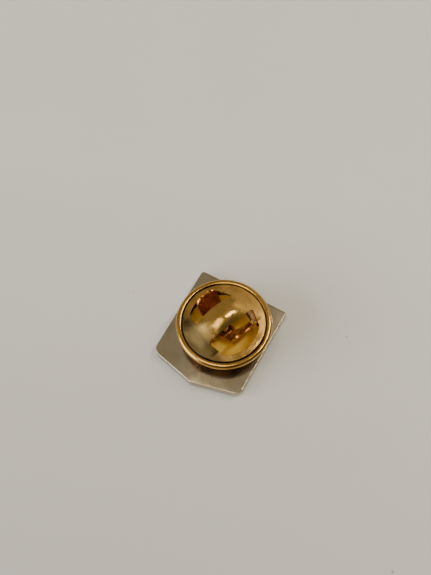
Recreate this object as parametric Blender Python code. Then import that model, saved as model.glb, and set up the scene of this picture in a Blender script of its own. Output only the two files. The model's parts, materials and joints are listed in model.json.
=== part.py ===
# Enamel lapel pin lying face down, with a butterfly clutch pushed on its post.
#
# The enamel face rests on z = 0 and faces down. +Y runs to the badge's straight
# top edge, and the origin is under the middle of the whole object's outline.
# The clutch has its own axes: local Y runs along its bridge, local X across it.

from math import atan2, cos, hypot, pi, radians, sin, sqrt

import bmesh
import bpy
from mathutils import Matrix, Vector

MM = 0.001

# Badge plate: a five-cornered shield, struck from sheet
PLATE_WIDTH = 11.8 * MM
PLATE_SIDE = 12.1 * MM            # from the top edge down to where the point starts
PLATE_POINT = 1.4 * MM            # depth of the blunt point below the sides
PLATE_THICKNESS = 1.2 * MM
TOP_CORNER = 0.4 * MM
SIDE_CORNER = 1.1 * MM
TIP_CORNER = 0.3 * MM
BACK_EDGE = 0.10 * MM             # softened edge round the back
FRONT_EDGE = 0.16 * MM

# Enamel cells in the front face, and the raised metal lines between them
BORDER_WIDTH = 0.55 * MM          # metal border round the outside
RING_WIDTH = 0.85 * MM            # enamel ring inside the border
LINE_WIDTH = 0.28 * MM
CELL_CORNER = 0.15 * MM
RECESS_DEPTH = 0.40 * MM
ENAMEL_SINK = 0.06 * MM           # fired enamel lies just below the metal lines
ENAMEL_GAP = 0.02 * MM
CHIEF_HEIGHT = 2.4 * MM           # cell across the top of the shield
LOZENGE_WIDTH = 4.2 * MM
LOZENGE_HEIGHT = 5.2 * MM
LOZENGE_LIFT = 0.35 * MM          # its centre above the middle of the cells under the chief

# Post, soldered to the back
POST_RADIUS = 0.55 * MM
POST_LENGTH = 4.6 * MM
POST_TIP = 0.9 * MM
POST_TIP_RADIUS = 0.12 * MM
GROOVE_DEPTH = 0.05 * MM
GROOVE_MARGIN = 0.12 * MM         # groove above and below the two jaws
POST_GAP = 0.02 * MM              # solder seam
SOLDER_RADIUS = 1.25 * MM
SOLDER_HEIGHT = 0.32 * MM

# Butterfly clutch
CLUTCH_OFFSET_X = 0.45 * MM       # post's place from the middle of the plate's sides
CLUTCH_OFFSET_Y = 0.05 * MM
CLUTCH_TURN = radians(-21.0)      # bridge against the badge's upright
CLUTCH_LIFT = 0.45 * MM           # cup's floor above the plate's back
CLUTCH_RADIUS = 5.75 * MM
SHEET = 0.20 * MM                 # brass of the cup and the cap

BEAD_RADIUS = 0.42 * MM           # rolled rim
BEAD_HEIGHT = 2.28 * MM           # its middle above the cup's underside
LIP_ANGLE = radians(120.0)        # how far the rim rolls over the cap
CUP_FLOOR_RADIUS = 3.2 * MM
CUP_HOLE_GAP = 0.20 * MM          # hole round the post

CAP_EDGE_GAP = 0.05 * MM          # cap's edge inside the rolled rim
CAP_STEP_OUT = 0.28 * MM          # flat edge that the rim grips
CAP_STEP_IN = 0.22 * MM           # width of the step up to the dome
CAP_SHOULDER = 0.38 * MM          # height of that step
CAP_DOME = 0.34 * MM              # rise from the shoulder to the middle
BRIDGE_RISE = 1.80 * MM           # arch above the dome
BRIDGE_SPAN = 9.6 * MM            # between the ends of its feet
BRIDGE_WIDTH = 2.6 * MM           # at the feet
BRIDGE_BULGE = 0.20 * MM          # each side is wider by this at mid-span
BRIDGE_SKIRT = 5.6 * MM           # width of the embossed feet
BRIDGE_OFFSET = 0.30 * MM         # the bridge sits this far towards the left wing
OPENING_RADIUS = 4.2 * MM         # outer edge of the two D-shaped openings
LEFT_OPENING = (-2.95 * MM, 2.65 * MM)   # ends of the left opening along the bridge
RIGHT_OPENING = (-3.2 * MM, 3.5 * MM)
OPENING_CORNER = 0.35 * MM

# Spring inside the clutch: a fold and two crossing legs, each with a finger wing
SPRING_SHEET = 0.25 * MM
LEG_LEVEL = 0.55 * MM             # underside of the lower leg above the cup's underside
LEG_GAP = 0.05 * MM               # between the legs
FOLD_DISTANCE = 2.7 * MM          # fold's axis from the post's axis
FOLD_RADIUS = 0.50 * MM           # inside of the fold
FOLD_OPENING = radians(60.0)      # half of the open side
EYE_GAP = 0.05 * MM
NECK_WIDTH = 0.7 * MM
JAW_GAP = 0.02 * MM               # jaw's edge against the groove
JAW_BAR = 0.36 * MM               # metal beyond the jaw's edge
JAW_LENGTH = 0.9 * MM             # jaw beyond the post's axis
JAW_TRAVEL = 0.45 * MM            # slot's room on the free side
SLOT_HALF = 0.65 * MM             # slot's half length along the leg
WING_ROOT = 2.2 * MM              # wing's foot from the post's axis
WING_TOP = 3.95 * MM              # wing's tip above the cup's underside
WING_CORNER = 0.7 * MM
LEFT_REACH = 3.75 * MM            # wing's tip from the bridge's centreline
LEFT_SPAN = (-1.15 * MM, 1.75 * MM)
RIGHT_REACH = 2.75 * MM
RIGHT_SPAN = (-0.65 * MM, 2.45 * MM)

# Facets
TURN_STEPS = 56
POST_STEPS = 24
CORNER_STEPS = 5
CAP_RINGS = 13

# Places worked out from the sizes above
PLATE_X = (PLATE_WIDTH / 2 - CLUTCH_OFFSET_X - CLUTCH_RADIUS) / 2
PLATE_Y = PLATE_POINT / 2
CLUTCH_PLACE = Vector((PLATE_X + CLUTCH_OFFSET_X, PLATE_Y + CLUTCH_OFFSET_Y,
                       PLATE_THICKNESS + CLUTCH_LIFT))
BEAD_DISTANCE = CLUTCH_RADIUS - BEAD_RADIUS
BEAD_INSIDE = BEAD_RADIUS - SHEET
CAP_RADIUS = BEAD_DISTANCE + BEAD_INSIDE / 3
CAP_EDGE_HEIGHT = BEAD_HEIGHT - BEAD_INSIDE + CAP_EDGE_GAP + SHEET
LEG_STEP = SPRING_SHEET + LEG_GAP


def clear_scene():
    for old in list(bpy.data.objects):
        bpy.data.objects.remove(old, do_unlink=True)


def make_material(name, color, metallic, roughness):
    material = bpy.data.materials.new(name)
    material.use_nodes = True
    shader = material.node_tree.nodes["Principled BSDF"]
    shader.inputs["Base Color"].default_value = (*color, 1.0)
    shader.inputs["Metallic"].default_value = metallic
    shader.inputs["Roughness"].default_value = roughness
    return material


def make_object(name, bm, material, parent=None, location=(0, 0, 0)):
    bmesh.ops.recalc_face_normals(bm, faces=bm.faces)
    mesh = bpy.data.meshes.new(name)
    bm.to_mesh(mesh)
    bm.free()
    mesh.materials.append(material)
    mesh.shade_smooth()
    mesh.set_sharp_from_angle(angle=radians(35))
    new = bpy.data.objects.new(name, mesh)
    bpy.context.scene.collection.objects.link(new)
    new.parent = parent
    new.location = location
    return new


def make_empty(name, location, turn=0.0, parent=None):
    empty = bpy.data.objects.new(name, None)
    bpy.context.scene.collection.objects.link(empty)
    empty.location = location
    empty.rotation_euler.z = turn
    empty.parent = parent
    return empty


def apply_boolean(target, cutter, operation):
    """Add a live Boolean and leave its cutter as a guide."""
    modifier = target.modifiers.new(operation.lower(), "BOOLEAN")
    modifier.operation = operation
    modifier.object = cutter
    cutter.hide_render = True
    cutter.display_type = "WIRE"


def inset(corners, distance):
    """Move each edge of a counter-clockwise polygon inwards, and meet them again."""
    moved = []
    count = len(corners)
    for index in range(count):
        before, here, after = corners[index - 1], corners[index], corners[(index + 1) % count]
        d1 = Vector((here[0] - before[0], here[1] - before[1])).normalized()
        d2 = Vector((after[0] - here[0], after[1] - here[1])).normalized()
        n1 = Vector((-d1.y, d1.x))
        n2 = Vector((-d2.y, d2.x))
        shift = (n1 + n2) / (1 + n1.dot(n2)) * distance
        moved.append((here[0] + shift.x, here[1] + shift.y))
    return moved


def rounded(corners, radii):
    """Replace each corner of a polygon with an arc of the given radius."""
    points = []
    count = len(corners)
    for index in range(count):
        here = Vector(corners[index])
        to_before = (Vector(corners[index - 1]) - here).normalized()
        to_after = (Vector(corners[(index + 1) % count]) - here).normalized()
        middle = (to_before + to_after).normalized()
        half = to_before.angle(to_after) / 2
        centre = here + middle * radii[index] / sin(half)
        first = here + to_before * radii[index] / (sin(half) / cos(half)) - centre
        last = here + to_after * radii[index] / (sin(half) / cos(half)) - centre
        start = atan2(first.y, first.x)
        sweep = (atan2(last.y, last.x) - start + pi) % (2 * pi) - pi
        for step in range(CORNER_STEPS + 1):
            angle = start + sweep * step / CORNER_STEPS
            points.append((centre.x + radii[index] * cos(angle),
                           centre.y + radii[index] * sin(angle)))
    return points


def arc(centre_x, centre_y, radius, start, end, steps):
    points = []
    for step in range(steps + 1):
        angle = start + (end - start) * step / steps
        points.append((centre_x + radius * cos(angle), centre_y + radius * sin(angle)))
    return points


def stack(bm, levels):
    """Close a solid through outlines of equal length, each with its height."""
    rings = []
    for outline, height in levels:
        rings.append([bm.verts.new((x, y, height)) for x, y in outline])
    for lower, upper in zip(rings, rings[1:]):
        for index in range(len(lower)):
            after = (index + 1) % len(lower)
            bm.faces.new((lower[index], lower[after], upper[after], upper[index]))
    bm.faces.new(list(reversed(rings[0])))
    bm.faces.new(rings[-1])


def turned(profile, steps=TURN_STEPS):
    """Turn a closed profile of (radius, height) points about Z."""
    bm = bmesh.new()
    verts = [bm.verts.new((radius, 0, height)) for radius, height in profile]
    edges = [bm.edges.new((verts[i - 1], verts[i])) for i in range(len(verts))]
    bmesh.ops.spin(bm, geom=verts + edges, cent=(0, 0, 0), axis=(0, 0, 1),
                   angle=2 * pi, steps=steps, use_merge=True)
    bmesh.ops.remove_doubles(bm, verts=bm.verts, dist=1e-7)
    bmesh.ops.dissolve_degenerate(bm, edges=bm.edges, dist=1e-7)
    return bm


# ---- badge ----

def shield_corners():
    """The plate's five corners, counter-clockwise from the lower right one."""
    half = PLATE_WIDTH / 2
    top = PLATE_SIDE / 2
    return [(half, -top), (half, top), (-half, top), (-half, -top), (0, -top - PLATE_POINT)]


def shield_outline(distance):
    radii = [max(radius - distance, CELL_CORNER)
             for radius in (SIDE_CORNER, TOP_CORNER, TOP_CORNER, SIDE_CORNER, TIP_CORNER)]
    return rounded(inset(shield_corners(), distance), radii)


def cell_corners():
    """Corner lists of the cells inside the enamel ring."""
    inner = inset(shield_corners(), BORDER_WIDTH + RING_WIDTH + LINE_WIDTH)
    right, top = inner[1]
    low_side = inner[0][1]
    tip = inner[4][1]
    line = LINE_WIDTH / 2
    chief_low = top - CHIEF_HEIGHT
    field_top = chief_low - LINE_WIDTH
    middle = (field_top + tip) / 2 + LOZENGE_LIFT
    half_w = LOZENGE_WIDTH / 2
    half_h = LOZENGE_HEIGHT / 2
    grow = 1 + LINE_WIDTH * sqrt(1 / half_w ** 2 + 1 / half_h ** 2)
    notch = half_h * grow - line * half_h / half_w
    foot = tip + line * (low_side - tip) / right
    right_field = [(right, low_side), (right, field_top), (line, field_top),
                   (line, middle + notch), (half_w * grow, middle),
                   (line, middle - notch), (line, foot)]
    left_field = [(-x, y) for x, y in reversed(right_field)]
    return {
        "enamel_chief": [(right, chief_low), (right, top), (-right, top), (-right, chief_low)],
        "enamel_field_left": left_field,
        "enamel_field_right": right_field,
        "enamel_lozenge": [(half_w, middle), (0, middle + half_h),
                           (-half_w, middle), (0, middle - half_h)],
    }


def add_prism(name, outline, low, high, material, place):
    bm = bmesh.new()
    stack(bm, [(outline, low), (outline, high)])
    return make_object(name, bm, material, location=place)


def make_plate(place, nickel):
    bm = bmesh.new()
    stack(bm, [(shield_outline(FRONT_EDGE), 0), (shield_outline(0), FRONT_EDGE),
               (shield_outline(0), PLATE_THICKNESS - BACK_EDGE),
               (shield_outline(BACK_EDGE), PLATE_THICKNESS)])
    plate = make_object("base_plate", bm, nickel, location=place)
    ring = add_prism("ring_cutter", shield_outline(BORDER_WIDTH), -RECESS_DEPTH, RECESS_DEPTH,
                     nickel, place)
    island = add_prism("island_cutter", shield_outline(BORDER_WIDTH + RING_WIDTH),
                       -2 * RECESS_DEPTH, 2 * RECESS_DEPTH, nickel, place)
    apply_boolean(ring, island, "DIFFERENCE")
    apply_boolean(plate, ring, "DIFFERENCE")
    for name, corners in cell_corners().items():
        outline = rounded(corners, [CELL_CORNER] * len(corners))
        cutter = add_prism(name + "_cutter", outline, -RECESS_DEPTH, RECESS_DEPTH, nickel, place)
        apply_boolean(plate, cutter, "DIFFERENCE")
    return plate


def make_enamel(place, colors):
    """Fill each cell, a seam clear of its walls and floor."""
    low = ENAMEL_SINK
    high = RECESS_DEPTH - ENAMEL_GAP
    ring = add_prism("enamel_ring", shield_outline(BORDER_WIDTH + ENAMEL_GAP), low, high,
                     colors["enamel_ring"], place)
    island = add_prism("ring_island", shield_outline(BORDER_WIDTH + RING_WIDTH - ENAMEL_GAP),
                       -high, 2 * high, colors["enamel_ring"], place)
    apply_boolean(ring, island, "DIFFERENCE")
    for name, corners in cell_corners().items():
        outline = rounded(inset(corners, ENAMEL_GAP), [CELL_CORNER] * len(corners))
        add_prism(name, outline, low, high, colors[name], place)


def make_post(place, steel):
    """Nail with a pointed tip and the shallow groove that the jaws hold."""
    groove_low = CLUTCH_LIFT + LEG_LEVEL - GROOVE_MARGIN
    groove_high = CLUTCH_LIFT + LEG_LEVEL + LEG_STEP + SPRING_SHEET + GROOVE_MARGIN
    waist = POST_RADIUS - GROOVE_DEPTH
    profile = [(0, 0), (POST_RADIUS, 0),
               (POST_RADIUS, groove_low - GROOVE_DEPTH), (waist, groove_low),
               (waist, groove_high), (POST_RADIUS, groove_high + GROOVE_DEPTH),
               (POST_RADIUS, POST_LENGTH - POST_TIP)]
    slope = atan2(POST_TIP - POST_TIP_RADIUS, POST_RADIUS)
    profile += arc(0, POST_LENGTH - POST_TIP_RADIUS, POST_TIP_RADIUS, pi / 2 - slope, pi / 2, 4)
    make_object("post", turned(profile, POST_STEPS), steel,
                location=place + Vector((0, 0, POST_GAP)))


def make_solder(place, solder):
    """Concave fillet round the post's foot."""
    reach = SOLDER_RADIUS - POST_RADIUS - POST_GAP
    curve = [(SOLDER_RADIUS - reach * sin(step * pi / 10), SOLDER_HEIGHT
              - SOLDER_HEIGHT * 0.9 * cos(step * pi / 10)) for step in range(6)]
    profile = [(POST_RADIUS + POST_GAP, 0), (SOLDER_RADIUS, 0)] + curve
    make_object("post_solder", turned(profile, POST_STEPS), solder,
                location=place + Vector((0, 0, POST_GAP)))


# ---- clutch cup and cap ----

def cup_wall_angle():
    """Slope of the wall that leaves the floor and runs tangent to the rolled rim."""
    run = BEAD_DISTANCE - CUP_FLOOR_RADIUS
    return atan2(BEAD_HEIGHT, run) - atan2(BEAD_RADIUS, sqrt(run ** 2 + BEAD_HEIGHT ** 2))


def make_cup(parent, brass):
    slope = cup_wall_angle()
    hole = POST_RADIUS + CUP_HOLE_GAP
    lift = SHEET * (1 - cos(slope)) / sin(slope)
    outer = [(hole, 0), (CUP_FLOOR_RADIUS, 0)]
    outer += arc(BEAD_DISTANCE, BEAD_HEIGHT, BEAD_RADIUS, slope - pi / 2, LIP_ANGLE, 12)
    inner = arc(BEAD_DISTANCE, BEAD_HEIGHT, BEAD_INSIDE, LIP_ANGLE, slope - pi / 2, 9)
    inner += [(CUP_FLOOR_RADIUS - lift, SHEET), (hole, SHEET)]
    make_object("clutch_cup", turned(outer + inner), brass, parent)


def smooth_step(value):
    value = min(max(value, 0.0), 1.0)
    return value * value * (3 - 2 * value)


def cap_height(x, y):
    """Top of the cap: gripped edge, step, shallow dome and the bridge's arch."""
    radius = hypot(x, y)
    step_foot = CAP_RADIUS - CAP_STEP_OUT
    shoulder = step_foot - CAP_STEP_IN
    height = CAP_EDGE_HEIGHT + CAP_SHOULDER * smooth_step((step_foot - radius) / CAP_STEP_IN)
    if radius < shoulder:
        height += CAP_DOME * (1 - (radius / shoulder) ** 2)
    along = max(1 - (y / (BRIDGE_SPAN / 2)) ** 2, 0) ** 1.1
    across = max(1 - ((x + BRIDGE_OFFSET) / (BRIDGE_SKIRT / 2)) ** 2, 0) ** 0.9
    return height + BRIDGE_RISE * along * across


def opening_outline(side, span):
    """One D-shaped opening, counter-clockwise when its side is +X."""
    low, high = span
    near = BRIDGE_WIDTH / 2 - side * BRIDGE_OFFSET
    far_low = sqrt(OPENING_RADIUS ** 2 - low ** 2)
    far_high = sqrt(OPENING_RADIUS ** 2 - high ** 2)
    outline = [(near + OPENING_CORNER, low), (far_low, low)]
    outline += arc(0, 0, OPENING_RADIUS, atan2(low, far_low), atan2(high, far_high), 16)[1:]
    outline += [(near + OPENING_CORNER, high)]
    middle = (low + high) / 2
    half = (high - low) / 2 - OPENING_CORNER
    for step in range(9):
        along = 1 - step / 4
        bulge = BRIDGE_BULGE * (1 - along ** 2)
        outline.append((near + bulge, middle + along * half))
    return [(side * x, y) for x, y in outline]


def make_cap(parent, brass):
    bm = bmesh.new()
    dense = [CAP_RADIUS, CAP_RADIUS - CAP_STEP_OUT / 2, CAP_RADIUS - CAP_STEP_OUT,
             CAP_RADIUS - CAP_STEP_OUT - CAP_STEP_IN / 3,
             CAP_RADIUS - CAP_STEP_OUT - 2 * CAP_STEP_IN / 3]
    shoulder = CAP_RADIUS - CAP_STEP_OUT - CAP_STEP_IN
    radii = dense + [shoulder * (CAP_RINGS - ring) / CAP_RINGS for ring in range(CAP_RINGS)]
    rings = []
    for radius in radii:
        ring = []
        for step in range(TURN_STEPS):
            x = radius * cos(2 * pi * step / TURN_STEPS)
            y = radius * sin(2 * pi * step / TURN_STEPS)
            ring.append(bm.verts.new((x, y, cap_height(x, y))))
        rings.append(ring)
    for outer, inner in zip(rings, rings[1:]):
        for step in range(TURN_STEPS):
            after = (step + 1) % TURN_STEPS
            bm.faces.new((outer[step], outer[after], inner[after], inner[step]))
    centre = bm.verts.new((0, 0, cap_height(0, 0)))
    for step in range(TURN_STEPS):
        bm.faces.new((rings[-1][step], rings[-1][(step + 1) % TURN_STEPS], centre))
    cap = make_object("clutch_cap", bm, brass, parent)
    solidify = cap.modifiers.new("sheet", "SOLIDIFY")
    solidify.thickness = SHEET
    solidify.offset = -1
    for name, side, span in (("right_opening", 1, RIGHT_OPENING), ("left_opening", -1, LEFT_OPENING)):
        cutter_mesh = bmesh.new()
        outline = opening_outline(side, span)
        stack(cutter_mesh, [(outline, 0), (outline, CAP_EDGE_HEIGHT + 2 * BRIDGE_RISE)])
        cutter = make_object(name, cutter_mesh, brass, parent)
        apply_boolean(cap, cutter, "DIFFERENCE")


# ---- spring ----

def make_fold(parent, bronze):
    """Open ring of strip at the closed end of the spring."""
    outer = FOLD_RADIUS + SPRING_SHEET
    outline = arc(0, 0, outer, pi / 2 + FOLD_OPENING, 2 * pi + pi / 2 - FOLD_OPENING, 20)
    outline += arc(0, 0, FOLD_RADIUS, 2 * pi + pi / 2 - FOLD_OPENING, pi / 2 + FOLD_OPENING, 20)
    low = LEG_LEVEL - LEG_GAP
    high = LEG_LEVEL + LEG_STEP + SPRING_SHEET + LEG_GAP
    bm = bmesh.new()
    stack(bm, [(outline, low), (outline, high)])
    make_object("spring_fold", bm, bronze, parent, (0, -FOLD_DISTANCE, 0))


def leg_outline(side, span):
    """Flat part of a leg: eye, neck, jaw bar and wing root, in axes on the fold."""
    post = FOLD_DISTANCE
    eye = FOLD_RADIUS - EYE_GAP
    half = NECK_WIDTH / 2
    start = atan2(sqrt(eye ** 2 - half ** 2), half)
    bar = POST_RADIUS - GROOVE_DEPTH + JAW_GAP + JAW_BAR
    shoulder = post - SLOT_HALF - NECK_WIDTH / 2
    outline = arc(0, 0, eye, start, start - (pi + 2 * start), 16)
    outline += [(-half, shoulder - half / 2), (-bar, shoulder), (-bar, post + JAW_LENGTH),
                (WING_ROOT - NECK_WIDTH, post + JAW_LENGTH),
                (WING_ROOT - NECK_WIDTH / 2, post + span[1]),
                (WING_ROOT, post + span[1]),
                (WING_ROOT, post + span[0]), (half, shoulder - half / 2)]
    return [(side * x, y) for x, y in outline]


def wing_path(side, reach, level):
    """Centreline of a wing seen along the bridge: out of the leg, round a bend and up."""
    low = level + SPRING_SHEET / 2
    bend = 2 * SPRING_SHEET
    lean = atan2(WING_TOP - low - bend, reach - WING_ROOT)
    path = [(WING_ROOT - bend, low)]
    path += arc(WING_ROOT - bend / 2, low + bend, bend, -pi / 2, lean - pi / 2, 5)
    path.append((reach, WING_TOP))
    return [(side * x, z) for x, z in path]


def wing_strip(side, span, reach, level):
    """Bent tab with a rounded tip, as a surface that is thickened both ways."""
    bm = bmesh.new()
    path = wing_path(side, reach, level)
    (x0, z0), (x1, z1) = path[-2], path[-1]
    tip_length = hypot(x1 - x0, z1 - z0)
    rows = [(x, z, 0.0) for x, z in path[:-1]]
    for step in range(7):
        angle = step * pi / 12
        part = 1 - WING_CORNER * (1 - sin(angle)) / tip_length
        rows.append((x0 + (x1 - x0) * part, z0 + (z1 - z0) * part, WING_CORNER * (1 - cos(angle))))
    grid = []
    for x, z, trim in rows:
        low = FOLD_DISTANCE + span[0] + trim
        high = FOLD_DISTANCE + span[1] - trim
        grid.append([bm.verts.new((x, low + (high - low) * step / 4, z)) for step in range(5)])
    for near, far in zip(grid, grid[1:]):
        for step in range(4):
            bm.faces.new((near[step], near[step + 1], far[step + 1], far[step]))
    return bm


def make_leg(name, side, span, reach, level, pivot, bronze):
    """One leg of the spring: jaw, slot and wing in one piece, turning on the fold's axis."""
    bm = bmesh.new()
    outline = leg_outline(side, span)
    stack(bm, [(outline, level), (outline, level + SPRING_SHEET)])
    leg = make_object(name, bm, bronze, pivot)
    wing = make_object(name + "_wing", wing_strip(side, span, reach, level), bronze, pivot)
    thicken = wing.modifiers.new("sheet", "SOLIDIFY")
    thicken.thickness = SPRING_SHEET
    thicken.offset = 0
    apply_boolean(leg, wing, "UNION")
    edge = POST_RADIUS - GROOVE_DEPTH + JAW_GAP
    free = POST_RADIUS + JAW_TRAVEL
    post = FOLD_DISTANCE
    corners = [(-edge, post - SLOT_HALF), (free, post - SLOT_HALF),
               (free, post + SLOT_HALF), (-edge, post + SLOT_HALF)]
    outline = [(side * x, y) for x, y in rounded(corners, [CELL_CORNER] * 4)]
    slot_mesh = bmesh.new()
    stack(slot_mesh, [(outline, level - SPRING_SHEET), (outline, level + 2 * SPRING_SHEET)])
    slot = make_object(name + "_slot", slot_mesh, bronze, pivot)
    apply_boolean(leg, slot, "DIFFERENCE")


def make_spring(parent, bronze):
    make_fold(parent, bronze)
    pivot = make_empty("fold_axis", (0, -FOLD_DISTANCE, 0), parent=parent)
    make_leg("spring_leg_left", -1, LEFT_SPAN, LEFT_REACH, LEG_LEVEL, pivot, bronze)
    make_leg("spring_leg_right", 1, RIGHT_SPAN, RIGHT_REACH, LEG_LEVEL + LEG_STEP, pivot, bronze)


def main():
    clear_scene()
    nickel = make_material("nickel_plate", (0.60, 0.57, 0.49), 1.0, 0.18)
    brass = make_material("gilt_brass", (0.80, 0.58, 0.22), 1.0, 0.22)
    bronze = make_material("spring_bronze", (0.62, 0.36, 0.13), 1.0, 0.28)
    steel = make_material("post_steel", (0.62, 0.58, 0.50), 1.0, 0.25)
    solder = make_material("solder", (0.50, 0.49, 0.47), 1.0, 0.45)
    navy = make_material("navy_enamel", (0.02, 0.05, 0.18), 0.0, 0.12)
    teal = make_material("teal_enamel", (0.02, 0.28, 0.30), 0.0, 0.12)
    white = make_material("white_enamel", (0.82, 0.81, 0.76), 0.0, 0.12)
    amber = make_material("amber_enamel", (0.80, 0.42, 0.05), 0.0, 0.12)
    colors = {"enamel_ring": white, "enamel_chief": navy, "enamel_field_left": teal,
              "enamel_field_right": teal, "enamel_lozenge": amber}

    place = Vector((PLATE_X, PLATE_Y, 0))
    make_plate(place, nickel)
    make_enamel(place, colors)
    foot = Vector((CLUTCH_PLACE.x, CLUTCH_PLACE.y, PLATE_THICKNESS))
    make_post(foot, steel)
    make_solder(foot, solder)

    clutch = make_empty("clutch_axis", CLUTCH_PLACE, CLUTCH_TURN)
    make_cup(clutch, brass)
    make_cap(clutch, brass)
    make_spring(clutch, bronze)


main()
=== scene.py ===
# Enamel pin lying face down on a pale table, with a gilt butterfly clutch on its post.
# Every piece is modelled in millimetres and brought to metres when it is finished.
import bmesh
import bpy
import json
from math import atan2, cos, hypot, pi, radians, sin, sqrt, tan
from mathutils import Matrix, Vector, noise


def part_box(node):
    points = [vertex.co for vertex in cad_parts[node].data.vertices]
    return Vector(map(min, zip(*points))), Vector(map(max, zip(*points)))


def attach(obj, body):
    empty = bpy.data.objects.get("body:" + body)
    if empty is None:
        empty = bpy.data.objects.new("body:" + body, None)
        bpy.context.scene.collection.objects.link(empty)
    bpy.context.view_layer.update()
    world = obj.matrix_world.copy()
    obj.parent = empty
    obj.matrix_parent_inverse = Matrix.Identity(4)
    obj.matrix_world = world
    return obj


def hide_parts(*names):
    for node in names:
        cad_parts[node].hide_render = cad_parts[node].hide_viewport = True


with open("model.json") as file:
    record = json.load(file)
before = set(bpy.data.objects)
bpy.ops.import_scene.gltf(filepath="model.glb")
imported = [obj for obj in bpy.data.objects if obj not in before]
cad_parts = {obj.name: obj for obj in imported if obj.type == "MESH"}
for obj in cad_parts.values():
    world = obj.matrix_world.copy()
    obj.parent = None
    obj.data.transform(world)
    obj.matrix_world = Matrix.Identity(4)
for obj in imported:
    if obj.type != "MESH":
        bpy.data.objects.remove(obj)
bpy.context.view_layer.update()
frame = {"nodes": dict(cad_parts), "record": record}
print("frame loaded:", ", ".join(sorted(frame["nodes"])))

# Places, read from the frame, in millimetres.
mm = 1000.0


def nodeBox(node):
    low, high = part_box(node)
    return low * mm, high * mm


plateLow, plateHigh = nodeBox("base_plate")
cupLow, cupHigh = nodeBox("clutch_cup")
capLow, capHigh = nodeBox("clutch_cap")
plateBack = plateHigh.z
plateCentre = (plateLow + plateHigh) / 2
clutchCentre = (cupLow + cupHigh) / 2
cupBase = cupLow.z
foldPlace = Vector(next(j["pos_m"] for j in frame["record"]["behaviour"]["joints"]
                        if j["name"] == "left_wing_squeeze")) * mm
foldOffset = foldPlace.xy - clutchCentre.xy
foldDistance = foldOffset.length
clutchTurn = atan2(foldOffset.x, -foldOffset.y)      # the bridge runs from the fold over the post


def pick(piece):
    bpy.ops.object.select_all(action="DESELECT")
    piece.select_set(True)
    bpy.context.view_layer.objects.active = piece


# In edit mode, leave selected only the vertices that the test accepts.
def selectVerts(piece, wanted):
    bpy.ops.mesh.select_mode(type="VERT")
    bpy.ops.mesh.select_all(action="DESELECT")
    bm = bmesh.from_edit_mesh(piece.data)
    for vert in bm.verts:
        vert.select_set(wanted(vert.co))
    bm.select_flush_mode()
    bmesh.update_edit_mesh(piece.data)


# A flat piece: a circle with one vertex per outline point, filled and extruded.
def outlinePiece(name, points, low, high):
    bpy.ops.object.select_all(action="DESELECT")
    bpy.ops.mesh.primitive_circle_add(vertices=len(points), radius=1, fill_type="NGON")
    piece = bpy.context.object
    piece.name = name
    for vert, (x, y) in zip(piece.data.vertices, points):
        vert.co = (x, y, low)
    bpy.ops.object.mode_set(mode="EDIT")
    bpy.ops.mesh.select_all(action="SELECT")
    bpy.ops.mesh.extrude_region_move(TRANSFORM_OT_translate={"value": (0, 0, high - low)})
    bpy.ops.mesh.select_all(action="SELECT")
    bpy.ops.mesh.normals_make_consistent(inside=False)
    bpy.ops.object.mode_set(mode="OBJECT")
    return piece


def modify(piece, kind, **settings):
    pick(piece)
    modifier = piece.modifiers.new(kind.lower(), kind)
    for key, value in settings.items():
        setattr(modifier, key, value)
    bpy.ops.object.modifier_apply(modifier=modifier.name)


def combine(piece, other, operation):
    modify(piece, "BOOLEAN", object=other, operation=operation)
    bpy.data.objects.remove(other)


def softenEdges(piece, width, segments=3, angle=radians(35)):
    modify(piece, "BEVEL", width=width, segments=segments, limit_method="ANGLE",
           angle_limit=angle, harden_normals=False)


# Uneven hand of thin struck metal: moves vertices along their normals by smooth noise.
def unevenPress(piece, height, size, seed, keep=None):
    mesh = piece.data
    normals = [vert.normal.copy() for vert in mesh.vertices]
    offset = Vector((seed * 7.3, seed * 3.1, seed * 5.7))
    for vert, normal in zip(mesh.vertices, normals):
        strength = 1.0 if keep is None else keep(vert.co)
        vert.co += normal * height * strength * noise.noise(vert.co / size + offset)


def arc(centreX, centreY, radius, start, end, steps):
    return [(centreX + radius * cos(start + (end - start) * step / steps),
             centreY + radius * sin(start + (end - start) * step / steps))
            for step in range(steps + 1)]


# Moves each side of a counter-clockwise outline inwards and meets the sides again.
def inset(corners, distance):
    moved = []
    for index, here in enumerate(corners):
        before = Vector(corners[index - 1])
        after = Vector(corners[(index + 1) % len(corners)])
        here = Vector(here)
        sideIn = (here - before).normalized()
        sideOut = (after - here).normalized()
        normalIn = Vector((-sideIn.y, sideIn.x))
        normalOut = Vector((-sideOut.y, sideOut.x))
        moved.append(tuple(here + (normalIn + normalOut) / (1 + normalIn.dot(normalOut)) * distance))
    return moved


# Puts an arc in place of each corner.
def rounded(corners, radii, steps=10):
    points = []
    for index, corner in enumerate(corners):
        here = Vector(corner)
        back = (Vector(corners[index - 1]) - here).normalized()
        ahead = (Vector(corners[(index + 1) % len(corners)]) - here).normalized()
        half = back.angle(ahead) / 2
        radius = radii[index]
        centre = here + (back + ahead).normalized() * radius / sin(half)
        first = here + back * radius / tan(half) - centre
        last = here + ahead * radius / tan(half) - centre
        start = atan2(first.y, first.x)
        sweep = (atan2(last.y, last.x) - start + pi) % (2 * pi) - pi
        points += arc(centre.x, centre.y, radius, start, start + sweep, steps)
    return points


# Puts a piece at its place in metres, and names what it rides on and stands for.
def finishPiece(piece, place, turn, material, body, nodes, smooth=radians(40)):
    pick(piece)
    piece.matrix_world = (Matrix.Scale(1 / mm, 4) @ Matrix.Translation(place)
                          @ Matrix.Rotation(turn, 4, "Z"))
    bpy.ops.object.transform_apply(location=True, rotation=True, scale=True)
    bpy.ops.object.shade_smooth_by_angle(angle=smooth)
    piece.data.materials.clear()
    piece.data.materials.append(material)
    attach(piece, body)
    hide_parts(*nodes)
    print("made", piece.name, len(piece.data.polygons), "faces")


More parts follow.
